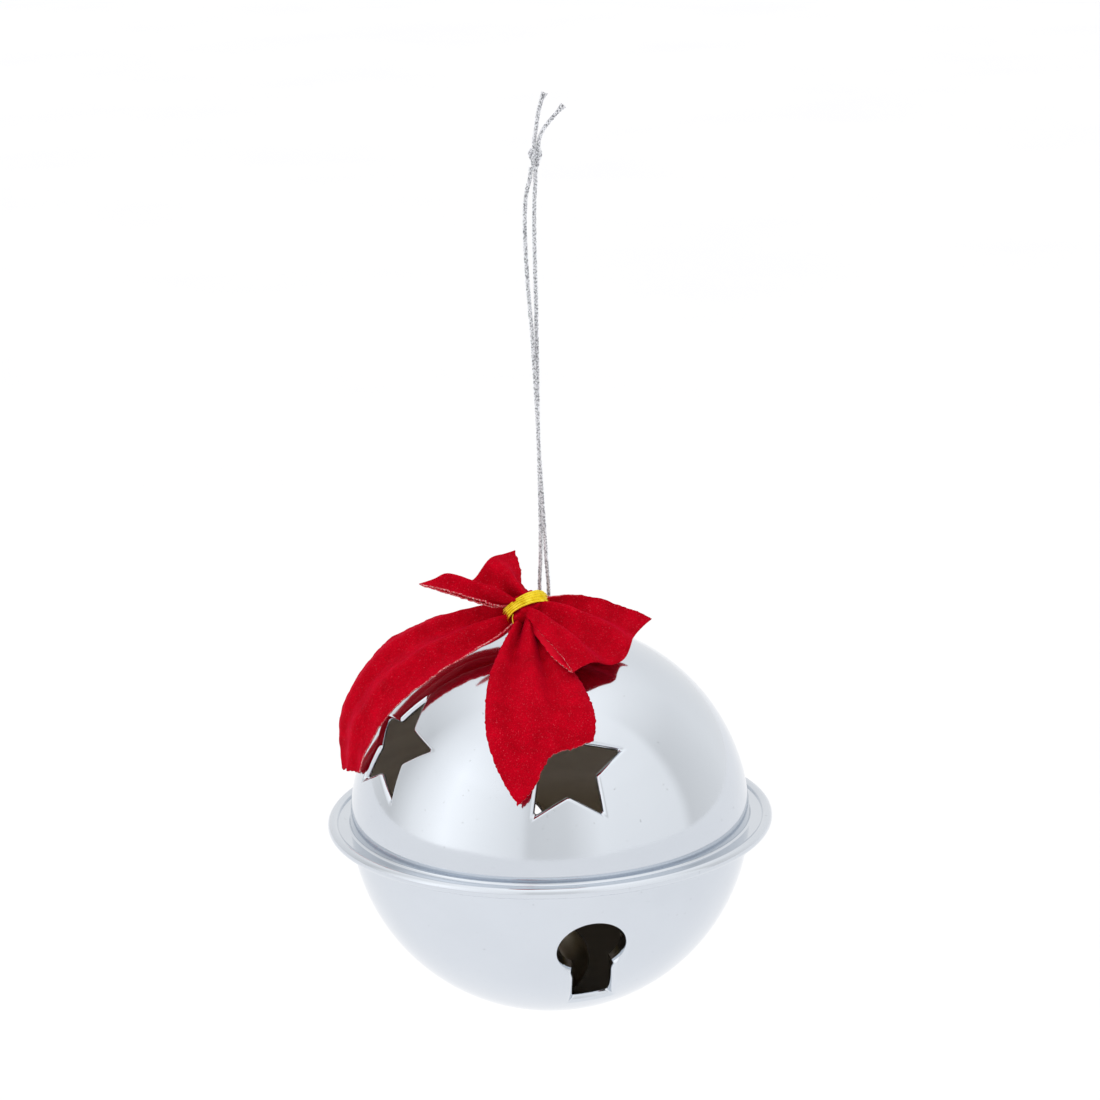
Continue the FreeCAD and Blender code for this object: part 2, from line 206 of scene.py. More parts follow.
def velvet_material():
    s = Shader("red_velvet", Sheen_Weight=0.35, Sheen_Roughness=0.40, Sheen_Tint=(1.0, 0.0, 0.08, 1.0),
               Specular_IOR_Level=0.03)
    stroked = s.noise(260.0, 5.0, 0.6)
    pile = s.noise(5200.0, 2.0, 0.6)
    body = s.ramp(stroked, (0.30, (0.40, 0.0, 0.007)), (0.72, (0.58, 0.0, 0.012)))
    nap = s.ramp(pile, (0.32, 0.62), (0.66, 1.05))
    # pale pink specks over the red: painted glints of light on the pile
    pile_glints = s.ramp(s.noise(3300.0, 3.0, 0.7), (0.60, 0.0), (0.74, 0.55))
    s.colour(s.mix(pile_glints, s.mix(1.0, body, nap, "MULTIPLY"), (0.80, 0.10, 0.15, 1.0)))
    s.rough(pile, 0.78, 0.95)
    s.bump((stroked, 0.25, 0.25), (pile, 0.55, 0.12))
    return s.mat


def satin_and_bounce_material():
    """The ribbon's smooth woven back, lighter red than the velvet: partly its own colour, partly painted
    light thrown up from the chrome bell.
    """
    s = Shader("ribbon_back", Specular_IOR_Level=0.08)
    weave = s.noise(2400.0, 3.0, 0.6, s.stretched((1.0, 3.0, 1.0)))
    # lighter red: the satin's own colour plus painted bounce light from the bell below
    s.colour(s.ramp(weave, (0.30, (0.60, 0.0, 0.014)), (0.70, (0.78, 0.0, 0.024))))
    s.rough(weave, 0.45, 0.62)
    s.bump((weave, 0.3, 0.04))
    return s.mat


def backing_material():
    """The ribbon's cut edges, where pale fibres show."""
    s = Shader("ribbon_backing", Specular_IOR_Level=0.2)
    fibre = s.noise(3600.0, 3.0)
    s.colour(s.ramp(fibre, (0.48, (0.50, 0.01, 0.03)), (0.70, (0.86, 0.56, 0.54))))
    s.rough(fibre, 0.85, 0.97)
    s.bump((fibre, 0.6, 0.1))
    return s.mat


def foil_material():
    s = Shader("gold_foil", Metallic=1.0)
    crinkle = s.voronoi(1500.0)
    s.colour(s.ramp(s.noise(700.0, 3.0), (0.3, (0.70, 0.47, 0.005)), (0.7, (0.95, 0.76, 0.06))))
    s.rough(crinkle, 0.20, 0.38)
    s.bump((crinkle, 0.3, 0.05), (s.noise(2600.0, 3.0), 0.25, 0.03))
    return s.mat


def thread_material():
    s = Shader("silver_thread", Metallic=0.9)
    glint = s.noise(2300.0, 3.0)
    s.colour(s.ramp(glint, (0.36, (0.24, 0.25, 0.27)), (0.54, (0.90, 0.91, 0.94))))
    s.rough(glint, 0.22, 0.48)
    s.bump((s.noise(6000.0, 2.0), 0.4, 0.03))
    return s.mat


def core_material():
    """The fibre core that the cord's yarns are braided over."""
    s = Shader("cord_core")
    fibre = s.noise(4000.0, 3.0)
    s.colour(s.ramp(fibre, (0.3, (0.16, 0.16, 0.17)), (0.7, (0.32, 0.32, 0.33))))
    s.rough(fibre, 0.7, 0.9)
    s.bump((fibre, 0.4, 0.04))
    return s.mat


def wire_material():
    s = Shader("plated_wire", Metallic=1.0)
    drawn = s.noise(300.0, 4.0)
    s.colour(s.ramp(drawn, (0.3, (0.58, 0.58, 0.59)), (0.7, (0.78, 0.78, 0.80))))
    s.rough(drawn, 0.14, 0.30)
    s.bump((s.noise(1800.0, 4.0), 0.2, 0.03))
    return s.mat


def ball_material():
    s = Shader("steel_ball", Metallic=0.9)
    patina = s.noise(140.0, 6.0, 0.6)
    s.colour(s.ramp(patina, (0.3, (0.40, 0.36, 0.27)), (0.7, (0.62, 0.59, 0.52))))
    s.rough(patina, 0.25, 0.5)
    s.bump((s.noise(900.0, 4.0), 0.25, 0.04), (s.voronoi(160.0), 0.15, 0.1))
    return s.mat


chrome, inside = chrome_material(), inside_material()
velvet, backing, satin_and_bounce = velvet_material(), backing_material(), satin_and_bounce_material()
foil, thread, core = foil_material(), thread_material(), core_material()


# ---------------------------------------------------------------- mesh helpers
def unit(v):
    return v / np.maximum(np.linalg.norm(v, axis=-1, keepdims=True), 1e-12)


class Surface:
    """Collects faces in millimetres from the rim's middle, with the exact normal at each corner."""

    def __init__(self):
        self.points, self.index = [], {}
        self.faces, self.normals, self.slots = [], [], []

    def vertex(self, p):
        """Number of the point, the same for all points that fall together."""
        key = (round(float(p[0]), 6), round(float(p[1]), 6), round(float(p[2]), 6))
        if key not in self.index:
            self.index[key] = len(self.points)
            self.points.append(key)
        return self.index[key]

    def face(self, corners, normals, slot=0):
        ids = [self.vertex(p) for p in corners]
        if len(set(ids)) < len(ids):
            return
        facing = np.cross(corners[2] - corners[0], corners[-1] - corners[1])
        if len(corners) == 3:
            facing = np.cross(corners[1] - corners[0], corners[2] - corners[0])
        if facing @ np.sum(normals, axis=0) < 0:
            ids, normals = ids[::-1], normals[::-1]
        self.faces.append(ids)
        self.normals.extend(normals)
        self.slots.append(slot)

    def strip(self, grid, normals, slot=0):
        """Faces of a grid whose last row joins its first."""
        for i in range(len(grid)):
            k = (i + 1) % len(grid)
            for j in range(grid.shape[1] - 1):
                self.face([grid[i, j], grid[k, j], grid[k, j + 1], grid[i, j + 1]],
                          [normals[i, j], normals[k, j], normals[k, j + 1], normals[i, j + 1]], slot)

    def build(self, name):
        obj = plain_mesh(name, self.points, self.faces, [chrome, inside], self.slots, RIM)
        obj.data.normals_split_custom_set([tuple(unit(n)) for n in np.array(self.normals)])
        obj.data.update()
        return obj


def plain_mesh(name, points, faces, materials, slots=None, origin=(0.0, 0.0, 0.0)):
    """Smooth shaded object from points in millimetres, measured from the origin given."""
    mesh = bpy.data.meshes.new(name)
    mesh.from_pydata(((np.asarray(points) + origin) * MM).tolist(), [], faces)
    for m in materials:
        mesh.materials.append(m)
    if slots is not None:
        mesh.polygons.foreach_set("material_index", slots)
    mesh.shade_smooth()
    mesh.update()
    return add_object(name, mesh)


def thicken(obj, thick, offset):
    """Offset 0 thickens both ways, 1 only on the side that the faces point to."""
    made = obj.modifiers.new("thickness", "SOLIDIFY")
    made.thickness, made.offset = thick * MM, offset
    return made


def grid_faces(rows, columns, closed=False):
    """Faces between neighbouring points of a grid, closed when the last column joins the first."""
    faces = []
    for i in range(rows - 1):
        for j in range(columns if closed else columns - 1):
            k = (j + 1) % columns
            faces.append((i * columns + j, i * columns + k, (i + 1) * columns + k, (i + 1) * columns + j))
    return faces


def catmull(values, s):
    """Smooth curve through rows of values at shares s of its spans."""
    values = np.asarray(values, float)
    spans = len(values) - 1
    t = np.clip(np.asarray(s) * spans, 0, spans - 1e-9)
    i = t.astype(int)
    f = (t - i)[:, None]
    padded = np.vstack([2 * values[0] - values[1], values, 2 * values[-1] - values[-2]])
    a, b, c, d = padded[i], padded[i + 1], padded[i + 2], padded[i + 3]
    return 0.5 * (2 * b + (c - a) * f + (2 * a - 5 * b + 4 * c - d) * f**2
                  + (3 * b - a - 3 * c + d) * f**3)


def uneven(points, *waves):
    """Sum of smooth noises at each point; a wave is (changes per mm, seed, height in mm)."""
    total = 0.0
    for scale, seed, height in waves:
        shift = Vector((seed, 7.3 * seed, -seed))
        total = total + np.array([noise.noise(Vector(p) * scale + shift) for p in points]) * height
    return total


# ---------------------------------------------------------------- cord
# routes in the frame's own millimetres: its origin is in the top of the loop, just under the knot
STRAND_LEFT = [
    (-0.50, 0.0, 0.3), (-0.50, 0.0, -1.6), (-1.65, 0.1, -5.0), (-2.15, 0.1, -10.5),
    (-2.10, 0.1, -18.5), (-1.75, 0.0, -27.0), (-1.15, -0.1, -35.5), (-0.85, -0.35, -44.5),
    (-0.50, -0.48, -53.5), (-0.30, -0.48, -63.0), (0.10, -0.40, -72.0), (0.45, -0.15, -80.5),
    (0.60, 0.0, -86.5), (0.92, 0.0, -91.0), (1.00, 0.0, -93.6), (1.00, 0.0, -95.9),
    (0.0, 0.0, -95.9),
]
STRAND_RIGHT = [
    (0.50, 0.0, 0.3), (0.50, 0.0, -2.0), (0.10, -0.05, -6.3), (-0.10, -0.05, -12.0),
    (-0.15, -0.1, -20.0), (-0.10, 0.0, -28.5), (-0.20, 0.15, -36.5), (-0.20, 0.4, -45.0),
    (-0.45, 0.48, -54.0), (-0.35, 0.48, -63.0), (-0.35, 0.4, -72.0), (-0.45, 0.15, -80.5),
    (-0.60, 0.0, -86.5), (-0.92, 0.0, -91.0), (-1.00, 0.0, -93.6), (-1.00, 0.0, -95.9),
    (0.0, 0.0, -95.9),
]
TAIL_LEFT = [
    (0.35, 0.0, 4.6), (0.35, 0.0, 6.3), (0.95, 0.0, 9.0), (1.35, 0.0, 12.4), (2.75, 0.0, 16.2),
]
TAIL_RIGHT = [
    (1.30, 0.0, 4.6), (1.30, 0.0, 6.0), (2.20, 0.1, 8.2), (4.20, 0.1, 10.7), (6.80, 0.0, 13.4),
]
CORD_R = 0.425
YARNS = 4  # wound each way
YARN_R = 0.125
YARN_SIDES = 6
YARN_STEP = 0.17  # along the cord, from one ring of points to the next
LAY_LENGTH = 3.0  # one turn of a yarn
LANE_R = CORD_R - YARN_R + 0.02  # from the cord's middle to a yarn's
WEAVE = 0.042  # how far a yarn goes out and in as it crosses the others
CORE_R = 0.2
CORE_SIDES = 8
FRAY_LENGTH = 2.2


def spline_points(points, closed=False):
    """Points in metres along the smooth curve of a route's control points."""
    curve = bpy.data.curves.new("route", "CURVE")
    curve.dimensions = "3D"
    curve.resolution_u = 24
    spline = curve.splines.new("NURBS")
    spline.points.add(len(points) - 1)
    for made, p in zip(spline.points, points):
        made.co = (p[0] * MM, p[1] * MM, p[2] * MM, 1.0)
    spline.order_u = 3
    if closed:
        spline.use_cyclic_u = True
    else:
        spline.use_endpoint_u = True
    obj = add_object("route", curve)
    mesh = bpy.data.meshes.new_from_object(obj)
    found = np.array([v.co for v in mesh.vertices], float).reshape(-1, 3)
    bpy.data.objects.remove(obj)
    bpy.data.meshes.remove(mesh)
    return found


def evenly(line, step):
    """The line's points spaced about a step apart, and each one's distance along it."""
    runs = np.linalg.norm(np.diff(line, axis=0), axis=1)
    along = np.concatenate([[0.0], np.cumsum(runs)])
    count = max(int(round(along[-1] / step)), 2) + 1
    at = np.linspace(0, along[-1], count)
    return np.stack([np.interp(at, along, line[:, k]) for k in range(3)], 1), at


def carried_frames(line):
    """Two unit vectors across the line at each point, carried along it without twist."""
    ahead = unit(np.gradient(line, axis=0))
    first = np.cross(ahead[0], [0.3, 1.0, 0.2])
    across = [unit(first)]
    for t in ahead[1:]:
        last = across[-1]
        across.append(unit(last - (last @ t) * t))
    across = np.array(across)
    return across, np.cross(ahead, across)


def tube_grid(line, radius, sides):
    """Rings of points round a line, with one radius or one for each ring."""
    one, two = carried_frames(line)
    turn = np.linspace(0, 2 * np.pi, sides, endpoint=False)
    radius = np.broadcast_to(radius, (len(line),))
    return (line[:, None] + radius[:, None, None]
            * (np.cos(turn)[None, :, None] * one[:, None] + np.sin(turn)[None, :, None] * two[:, None]))


def tube_faces(rows, sides, start, closed=False):
    """Faces of a tube whose points begin at start; its ends are capped unless it is closed."""
    faces = []
    for i in range(rows if closed else rows - 1):
        k = (i + 1) % rows
        for j in range(sides):
            n = (j + 1) % sides
            faces.append((start + i * sides + j, start + i * sides + n, start + k * sides + n,
                          start + k * sides + j))
    if not closed:
        faces.append(tuple(start + j for j in reversed(range(sides))))
        faces.append(tuple(start + (rows - 1) * sides + j for j in range(sides)))
    return faces


def braid(name, line_m, fray=0.0, closed=False):
    """Round braid of metallic yarns over a soft core, along a line in metres."""
    line, along = evenly(line_m / MM, YARN_STEP)
    if closed:
        line, along = line[:-1], along[:-1]
    one, two = carried_frames(line)
    length = along[-1] + (YARN_STEP if closed else 0.0)
    turns = length / LAY_LENGTH
    if closed:
        turns = max(round(turns), 1)
    swing = 2 * np.pi * turns * along / length
    opened = np.clip((along - (length - FRAY_LENGTH)) / FRAY_LENGTH, 0, 1) ** 2 * fray
    points, faces, slots = [], [], []
    for way in (1, -1):
        for y in range(YARNS):
            angle = way * swing + 2 * np.pi * y / YARNS
            lift = way * WEAVE * np.cos(YARNS * angle)
            spread = 1.0 + 0.35 * math.sin(2.4 * y + way)  # each yarn's own way of fraying
            out = LANE_R + lift + opened * spread
            yarn = line + out[:, None] * (np.cos(angle)[:, None] * one + np.sin(angle)[:, None] * two)
            grid = tube_grid(yarn, YARN_R * (1 - 0.5 * np.clip(opened, 0, 1)), YARN_SIDES)
            faces += tube_faces(len(line), YARN_SIDES, len(points), closed)
            points.extend(grid.reshape(-1, 3))
    slots += [0] * len(faces)
    grid = tube_grid(line, CORE_R, CORE_SIDES)
    faces += tube_faces(len(line), CORE_SIDES, len(points), closed)
    points.extend(grid.reshape(-1, 3))
    slots += [1] * (len(faces) - len(slots))
    obj = plain_mesh(name, points, faces, [thread, core], slots)
    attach(obj, "cord")
    return obj, line * MM


def make_cord():
    # an overhand knot pulled tight: a closed three-lobed wind, taller than wide
    wide, deep, tall = 0.42, 0.66, 0.82
    middle_x, middle_z = 0.5, 2.5
    t = np.linspace(0, 2 * np.pi, 16, endpoint=False)
    lobes = np.stack([wide * (np.sin(t) + 2 * np.sin(2 * t)) + middle_x, -deep * np.sin(3 * t),
                      tall * (np.cos(t) - 2 * np.cos(2 * t)) + middle_z], 1)
    knot, _ = braid("knot_wind", spline_points([tuple(p) for p in lobes], closed=True), closed=True)
    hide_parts("cord_knot")
    ends = []
    for name, route, node in (("cord_end_left", TAIL_LEFT, "cord_tail_left"),
                              ("cord_end_right", TAIL_RIGHT, "cord_tail_right")):
        inner = [(route[0][0] * 0.6, 0.0, 2.0)] + route
        end, _ = braid(name, spline_points(inner), fray=0.32)
        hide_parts(node)
        ends.append(end)
    for name, route, node, extra in (("cord_left", STRAND_LEFT, "cord_strand_left", [knot, *ends]),
                                     ("cord_right", STRAND_RIGHT, "cord_strand_right", [knot])):
        strand, line = braid(name, spline_points(route))
        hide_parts(node)


make_cord()


# ---------------------------------------------------------------- bell
DOME_CENTRE = np.array([0.0, 0.0, -1.0])
BOWL_CENTRE = np.array([0.0, 0.0, 1.4])
# each opening's azimuth from the front, elevation and turn in its own plane, in degrees
STARS = ((-64.0, 32.4, -2.0), (6.0, 34.2, -2.0), (124.0, 33.0, 0.0), (194.0, 33.0, 0.0))
KEYHOLES = ((12.0, -24.5, 6.0), (192.0, -24.5, 6.0))
# Each kind of lip: how far its opening is inside the full outline, how far it would run in and how
# deep it would be (at the bottom, at the top) as a quarter roll, and how many degrees it does roll.
STAR_LIP = (0.5, 1.2, (1.5, 1.5), 90)
KEYHOLE_LIP = (0.7, 1.9, (3.2, 6.2), 62)
LIP_CHANGE = (-9.0, -6.0)  # the depth goes from its bottom to its top value between these heights
FILLET = 0.6  # from a shell's ball part into its flange
UPPER_FLANGE_Z = 0.3  # top face of the upper flange
LOWER_FLANGE_Z = -0.7  # under face of the lower flange
SEGMENTS = 288
SPACING = 1.7


def star_outline(inset):
    """Five-pointed star; the inset is how far its sides are moved inwards."""
    tip, notch, tip_round, notch_round = 13.5, 6.8, 0.9, 0.5
    step = math.pi / 5
    side = math.sqrt(tip**2 + notch**2 - 2 * tip * notch * math.cos(step))
    scale = 1 - inset / (tip * notch * math.sin(step) / side)
    points, rounds = [], []
    for k in range(10):
        radius = (tip if k % 2 == 0 else notch) * scale
        angle = math.pi / 2 + k * step
        points.append((radius * math.cos(angle), radius * math.sin(angle)))
        rounds.append(tip_round if k % 2 == 0 else notch_round)
    return sampled(points, rounds, 5, 5)


def keyhole_outline(inset):
    """Round hole over a straight slot, moved inwards by the inset."""
    radius, half, end = 7.5 - inset, 4.7 - inset, 19.6 - inset
    corner_round, neck_round = 0.6, 0.3
    opening = math.asin(half / radius)
    sides = 14
    sweep = 2 * math.pi - 2 * opening
    points = [(half, -end), (half, -radius * math.cos(opening))]
    rounds = [corner_round, neck_round]
    for k in range(sides):
        angle = -math.pi / 2 + opening + sweep * (k + 0.5) / sides
        corner_r = radius / math.cos(sweep / sides / 2)
        points.append((corner_r * math.cos(angle), corner_r * math.sin(angle)))
        rounds.append(0.9 * radius * math.tan(sweep / sides / 2))
    points += [(-half, -radius * math.cos(opening)), (-half, -end)]
    rounds += [neck_round, corner_round]
    return sampled(points, rounds, 4, 5)


def sampled(points, rounds, arc_steps, run_steps):
    """Points round an outline whose corners are arcs; the same count for every inset."""
    points = np.array(points)
    out, ends = [], []
    for i, p in enumerate(points):
        before, after = unit(points[i - 1] - p), unit(points[(i + 1) % len(points)] - p)
        a, b = p + before * rounds[i], p + after * rounds[i]
        arc = []
        for k in range(arc_steps + 1):
            t = k / arc_steps
            weight = math.sqrt(max((1 - before @ after) / 2, 0.0))
            top = (1 - t) ** 2 * a + 2 * weight * t * (1 - t) * p + t**2 * b
            arc.append(top / ((1 - t) ** 2 + 2 * weight * t * (1 - t) + t**2))
        ends.append((arc[0], arc[-1]))
        out.append(arc)
    whole = []
    for i, arc in enumerate(out):
        whole += arc
        start, end = ends[i][1], ends[(i + 1) % len(out)][0]
        whole += [start + (end - start) * k / run_steps for k in range(1, run_steps)]
    return np.array(whole)


def patch_frame(azimuth, elevation, turn):
    """An opening's right, up and outward directions."""
    a, e, t = (math.radians(x) for x in (azimuth, elevation, turn))
    out = np.array([math.cos(e) * math.sin(a), -math.cos(e) * math.cos(a), math.sin(e)])
    right = np.array([math.cos(a), math.sin(a), 0.0])
    up = np.cross(out, right)
    return right * math.cos(t) + up * math.sin(t), up * math.cos(t) - right * math.sin(t), out


def on_sphere(centre, place, flat, radius, depth):
    """Flat points of an opening's plane carried out to the ball, then down by the depth."""
    right, up, out = place
    height = np.sqrt(radius**2 - (flat**2).sum(1)) - depth
    return centre + flat[:, :1] * right + flat[:, 1:] * up + height[:, None] * out


def inner_of(points, centre):
    """The points of the inner face straight behind those of the outer face."""
    return centre + (points - centre) * ((BODY_R - SHEET) / BODY_R)


def grid_normals(grid, like):
    """Normals of a closed grid, on the side that agrees with the vectors in like at its start."""
    around = np.roll(grid, -1, 0) - np.roll(grid, 1, 0)
    down = np.gradient(grid, axis=1)
    n = unit(np.cross(around, down))
    return n if (n[:, 0] * like).sum() > 0 else -n


def lip(surface, centre, place, outline, opening, run, deep, turn):
    """Lip rolled inwards round an opening; gives its outer edge on the shell."""
    phi = np.radians(np.linspace(0, turn, 9))
    start = opening - run * math.sin(phi[-1])
    deep = np.interp(outline(0.0)[:, 1], LIP_CHANGE, deep)
    outer = np.stack([on_sphere(centre, place, outline(start + run * math.sin(f)), BODY_R,
                                deep * (1 - math.cos(f))) for f in phi], 1)
    inward = np.stack([on_sphere(centre, place, outline(start + (run - SHEET) * math.sin(f)), BODY_R,
                                 SHEET + (deep - SHEET) * (1 - math.cos(f))) for f in phi], 1)
    inward[:, 0] = inner_of(outer[:, 0], centre)
    radial = unit(outer[:, 0] - centre)
    normals = grid_normals(outer, radial)
    normals[:, 0] = radial
    surface.strip(outer, normals)
    normals = grid_normals(inward, -radial)
    normals[:, 0] = -radial
    surface.strip(inward, normals, 1)
    edge = np.stack([outer[:, -1], inward[:, -1]], 1)
    surface.strip(edge, np.broadcast_to(-place[2], edge.shape))
    return outer[:, 0]


def distance_to(points, outline):
    """Distance of flat points to a closed outline, and whether they are inside it."""
    a, b = outline, np.roll(outline, -1, 0)
    d = b - a
    rel = points[:, None] - a[None]
    t = np.clip((rel * d).sum(2) / np.maximum((d**2).sum(1), 1e-12), 0, 1)
    far = np.linalg.norm(rel - t[..., None] * d, axis=2).min(1)
    crosses = ((a[:, 1] > points[:, None, 1]) != (b[:, 1] > points[:, None, 1]))
    x = a[:, 0] + (points[:, None, 1] - a[:, 1]) * d[:, 0] / np.where(abs(d[:, 1]) < 1e-12, 1e-12, d[:, 1])
    return far, (crosses & (points[:, None, 0] < x)).sum(1) % 2 == 1


def shell_skin(surface, centre, pole, foot, openings, hole_r):
    """Both faces of a shell's ball part, from its foot circle to its openings and its pole.

    The pole is 1 for a dome and -1 for a bowl; hole_r is the round hole there, or 0 for none.
    """
    def flat(points):
        d = unit(points - centre)
        theta = np.arccos(np.clip(d[:, 2] * pole, -1, 1)) * BODY_R
        return unit(d[:, :2]) * theta[:, None]

    loops = [foot, *openings]
    if hole_r:
        loops.append(ring(hole_r, centre[2] + pole * math.sqrt(BODY_R**2 - hole_r**2), 24))
    flats = [flat(loop) for loop in loops]
    reach = float(np.linalg.norm(flats[0][0]))
    seeds = [] if hole_r else [np.zeros((1, 2))]
    rows = int(reach / SPACING)
    for k in range(1, rows):
        r = reach * k / rows
        count = max(int(2 * math.pi * r / SPACING), 6)
        t = np.linspace(0, 2 * np.pi, count, endpoint=False) + 0.5 * k
        seeds.append(np.stack([r * np.cos(t), r * np.sin(t)], 1))
    seeds = np.concatenate(seeds)
    for loop in flats[1:]:
        far, within = distance_to(seeds, loop)
        seeds = seeds[(far > 0.75) & ~within]
    theta = np.linalg.norm(seeds, axis=1) / BODY_R
    away = unit(seeds)
    ball = np.stack([np.sin(theta) * away[:, 0], np.sin(theta) * away[:, 1], pole * np.cos(theta)], 1)
    places = np.concatenate([*loops, centre + BODY_R * ball])
    flat_points = np.concatenate([*flats, seeds])
    edges, start = [], 0
    for loop in loops:
        edges += [(start + k, start + (k + 1) % len(loop)) for k in range(len(loop))]
        start += len(loop)
    result = delaunay_2d_cdt([Vector(p) for p in flat_points], edges, [], 1, 1e-7, True)
    origin = [ids[0] if ids else None for ids in result[3]]
    inner = inner_of(places, centre)
    radial = unit(places - centre)
    faces = [f for f in result[2] if all(origin[v] is not None for v in f)]
    ids = np.array([[origin[v] for v in f] for f in faces])
    middle = flat_points[ids].mean(1)
    keep = np.ones(len(ids), bool)
    for loop in flats[1:]:
        keep &= ~distance_to(middle, loop)[1]
    for f in ids[keep]:
        surface.face([places[v] for v in f], [radial[v] for v in f], 0)
        surface.face([inner[v] for v in f], [-radial[v] for v in f], 1)
    if hole_r:
        wall = np.stack([loops[-1], inner_of(loops[-1], centre)], 1)
        surface.strip(wall, np.repeat(-unit(wall[:, :1] * [1, 1, 0]), 2, axis=1))


def ring(r, z, count=SEGMENTS):
    t = np.linspace(0, 2 * np.pi, count, endpoint=False)
    return np.stack([r * np.cos(t), r * np.sin(t), np.full(count, z)], 1)


def profile_arc(centre, radius, first, last, steps, side=1):
    """Points (radius, height) of a profile and their normals; side -1 faces the arc's centre."""
    t = np.radians(np.linspace(first, last, steps + 1))
    n = np.stack([np.cos(t), np.sin(t)], 1)
    return np.array(centre) + radius * n, side * n


def profile_line(a, b, normal):
    return np.array([a, b], float), np.array([normal, normal], float)


def revolve(surface, parts, ends):
    """Bands of revolution, each a profile and its material; ends are the first and last circles."""
    t = np.linspace(0, 2 * np.pi, SEGMENTS, endpoint=False)
    for k, ((points, normals), slot) in enumerate(parts):
        grid = np.stack([ring(r, z) for r, z in points], 1)
        if k == 0:
            grid[:, 0] = ends[0]
        if k == len(parts) - 1:
            grid[:, -1] = ends[1]
        n = np.stack([np.outer(np.cos(t), normals[:, 0]), np.outer(np.sin(t), normals[:, 0]),
                      np.broadcast_to(normals[:, 1], (SEGMENTS, len(normals)))], 2)
        surface.strip(grid, n, slot)


def inner_arc(centre_z, z_from, z_to):
    """Profile of a shell's inner face between two heights."""
    radius = BODY_R - SHEET
    first, last = (math.degrees(math.asin((z - centre_z) / radius)) for z in (z_from, z_to))
    return profile_arc((0.0, centre_z), radius, first, last, 2, -1)


def upper_bell():
    """Dome, flange and the rim rolled over and back under the lower flange."""
    s = Surface()
    top = UPPER_FLANGE_Z
    shoulder = top + FILLET
    foot_r = math.sqrt(BODY_R**2 - (shoulder - DOME_CENTRE[2]) ** 2)
    foot = ring(foot_r, shoulder)
    inner_foot = inner_of(foot, DOME_CENTRE)
    bead = (RIM_R - BEAD_R, 0.0)
    under = top - SHEET
    inner_r = BEAD_R - SHEET
    turn_out = 180 - math.degrees(math.asin(top / BEAD_R))
    turn_in = 180 + math.degrees(math.asin(-under / inner_r))
    foot_in = math.sqrt((BODY_R - SHEET) ** 2 - (under - DOME_CENTRE[2]) ** 2)
    start = bead[0] - math.sqrt(BEAD_R**2 - top**2)
    end = bead[0] - math.sqrt(inner_r**2 - under**2)
    revolve(s, [
        (profile_arc((foot_r + FILLET, shoulder), FILLET, 180, 270, 8, -1), 0),
        (profile_line((foot_r + FILLET, top), (start, top), (0, 1)), 0),
        (profile_arc(bead, BEAD_R, turn_out, -90, 30), 0),
        (profile_line((bead[0], -BEAD_R), (ROLL_END_R, -BEAD_R), (0, -1)), 0),
        (profile_line((ROLL_END_R, -BEAD_R), (ROLL_END_R, -inner_r), (-1, 0)), 0),
        (profile_line((ROLL_END_R, -inner_r), (bead[0], -inner_r), (0, 1)), 1),
        (profile_arc(bead, inner_r, -90, turn_in, 20, -1), 1),
        (profile_line((end, under), (foot_in, under), (0, -1)), 1),
        (inner_arc(DOME_CENTRE[2], under, inner_foot[0, 2]), 1),
    ], (foot, inner_foot))
    openings = [lip(s, DOME_CENTRE, patch_frame(*star), star_outline, *STAR_LIP) for star in STARS]
    shell_skin(s, DOME_CENTRE, 1, foot, openings, EYE_HOLE_R)
    return s.build("bell_dome")


def lower_bell():
    """Bowl and its flat flange."""
    s = Surface()
    under = LOWER_FLANGE_Z
    shoulder = under - FILLET
    foot_r = math.sqrt(BODY_R**2 - (shoulder - BOWL_CENTRE[2]) ** 2)
    foot = ring(foot_r, shoulder)
    inner_foot = inner_of(foot, BOWL_CENTRE)
    top = under + SHEET
    mouth = math.sqrt((BODY_R - SHEET) ** 2 - (top - BOWL_CENTRE[2]) ** 2)
    revolve(s, [
        (profile_arc((foot_r + FILLET, shoulder), FILLET, 180, 90, 8, -1), 0),
        (profile_line((foot_r + FILLET, under), (LOWER_FLANGE_R, under), (0, -1)), 0),
        (profile_line((LOWER_FLANGE_R, under), (LOWER_FLANGE_R, top), (1, 0)), 1),
        (profile_line((LOWER_FLANGE_R, top), (mouth, top), (0, 1)), 1),
        (inner_arc(BOWL_CENTRE[2], top, inner_foot[0, 2]), 1),
    ], (foot, inner_foot))
    openings = [lip(s, BOWL_CENTRE, patch_frame(*hole), keyhole_outline, *KEYHOLE_LIP)
                for hole in KEYHOLES]
    shell_skin(s, BOWL_CENTRE, -1, foot, openings, 0)
    return s.build("bell_bowl")


for make, node in ((upper_bell, "upper_shell"), (lower_bell, "lower_shell")):
    made = make()
    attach(made, "bell")
    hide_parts(node)


# ---------------------------------------------------------------- bow
GATHER_CENTRE = np.array([-4.0, -7.4, 51.0])
GATHER_WIDE = unit(np.array([0.90, 0.15, 0.41]))
GATHER_AXIS = np.array([0.40, -0.72, -0.57])
GATHER_AXIS = unit(GATHER_AXIS - (GATHER_AXIS @ GATHER_WIDE) * GATHER_WIDE)
GATHER_TALL = np.cross(GATHER_AXIS, GATHER_WIDE)
GATHER_RADII = (4.2, 2.8)
RIBBON_THICK = 0.35
RIBBON_COLUMNS = 52
TAIL_ROWS = 120
LOOP_ROWS = 60  # to the fold
TAIL_PLEATS = 2.4
LOOP_PLEATS = 2.3
BAND_RADII = (4.85, 3.25)
BAND_HALF = 1.45
FOIL_THICK = 0.12


def in_gather(across, up, along):
    return GATHER_CENTRE + across * GATHER_WIDE + up * GATHER_TALL + along * GATHER_AXIS


